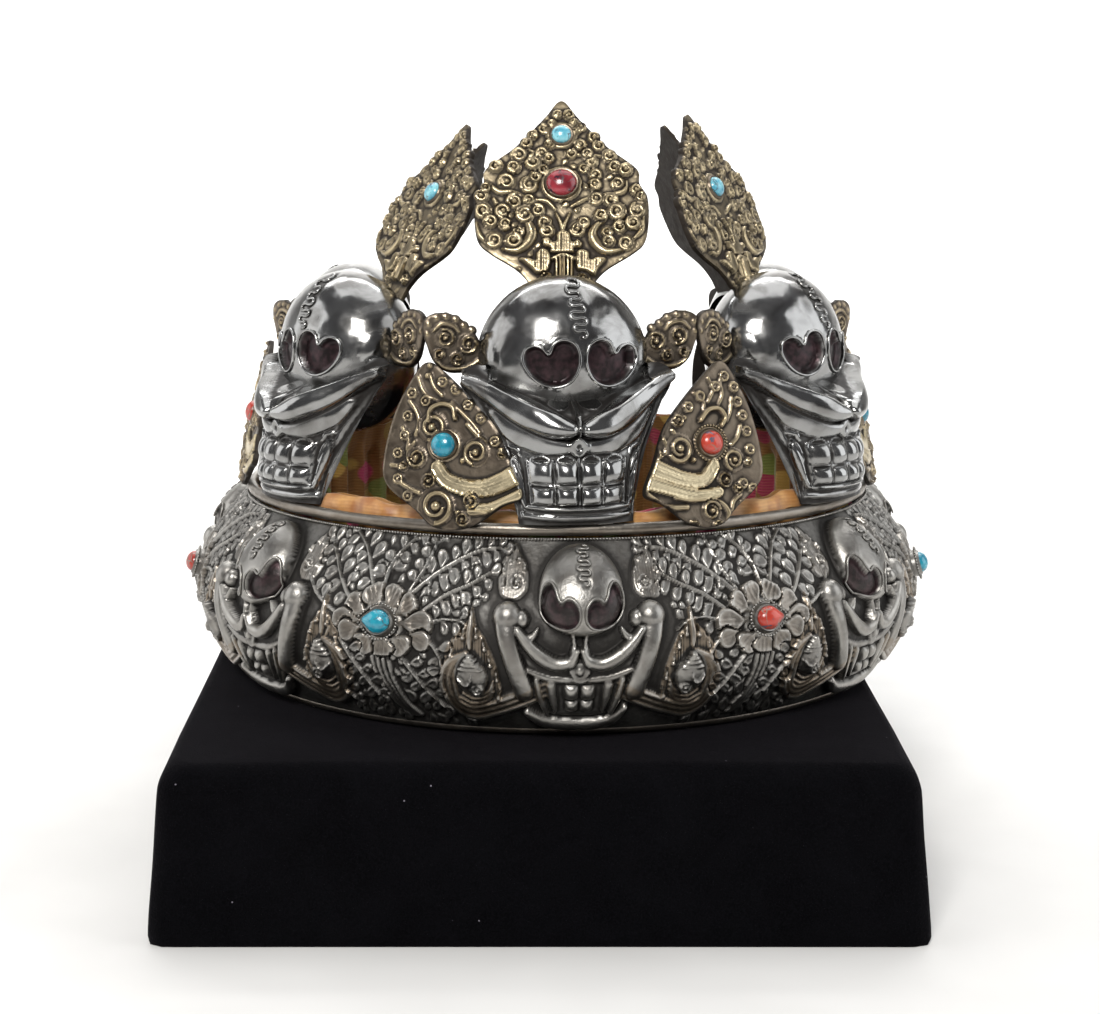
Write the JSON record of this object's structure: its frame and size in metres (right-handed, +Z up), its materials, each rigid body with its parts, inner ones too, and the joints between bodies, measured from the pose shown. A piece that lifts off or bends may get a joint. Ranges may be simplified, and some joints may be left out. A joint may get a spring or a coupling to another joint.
{
  "type": "oracle crown on velvet display stand",
  "caption": "Wide relief-chased silver crown band with skull plaques, leaf plates and leaning finials, open head hollow with cloth lining, on a velvet display block.",
  "frame": {"origin": "on the velvet stand's bottom face, straight below the crown's axis", "axes": "+Z up along the crown's axis, -Y towards the front skull, +X to the viewer's right"},
  "size_m": [0.2581, 0.2698, 0.2382],
  "materials": {
    "velvet": "black cotton velvet, short pile",
    "silver": "chased silver with dark patina in the recesses",
    "bright_silver": "polished silver, slightly tarnished",
    "gilt": "worn gilding on chased silver",
    "lining_silk": "brocade and orange silk",
    "turquoise": "polished cabochon",
    "coral": "polished cabochon"
  },
  "bodies": {
    "root": {"velvet_stand": "velvet", "band": "silver", "lining": "lining_silk", "skull_front": "bright_silver", "finial_front": "gilt", "stone_finial_front_centre": "coral", "ear_scroll_front_left": "gilt", "ear_scroll_front_right": "gilt", "skull_left": "bright_silver", "finial_left": "gilt", "stone_finial_left_centre": "turquoise", "ear_scroll_left_left": "gilt", "ear_scroll_left_right": "gilt", "skull_right": "bright_silver", "finial_right": "gilt", "stone_finial_right_centre": "turquoise", "ear_scroll_right_left": "gilt", "ear_scroll_right_right": "gilt", "skull_left_rear": "bright_silver", "finial_left_rear": "gilt", "stone_finial_left_rear_centre": "turquoise", "ear_scroll_left_rear_left": "gilt", "ear_scroll_left_rear_right": "gilt", "skull_right_rear": "bright_silver", "finial_right_rear": "gilt", "stone_finial_right_rear_centre": "turquoise", "ear_scroll_right_rear_left": "gilt", "ear_scroll_right_rear_right": "gilt", "stone_finial_front_upper": "turquoise", "leaf_front_left": "gilt", "stone_leaf_front_left": "turquoise", "leaf_front_right": "gilt", "stone_leaf_front_right": "coral", "leaf_side_left": "gilt", "stone_leaf_side_left": "coral", "leaf_side_right": "gilt", "stone_leaf_side_right": "turquoise", "leaf_rear_left": "gilt", "stone_leaf_rear_left": "turquoise", "leaf_rear_right": "gilt", "stone_leaf_rear_right": "coral", "stone_band_front_left": "turquoise", "stone_band_front_right": "coral", "stone_band_side_left": "coral", "stone_band_side_right": "turquoise", "stone_band_rear_left": "turquoise", "stone_band_rear_right": "coral"}
  },
  "joints": []
}
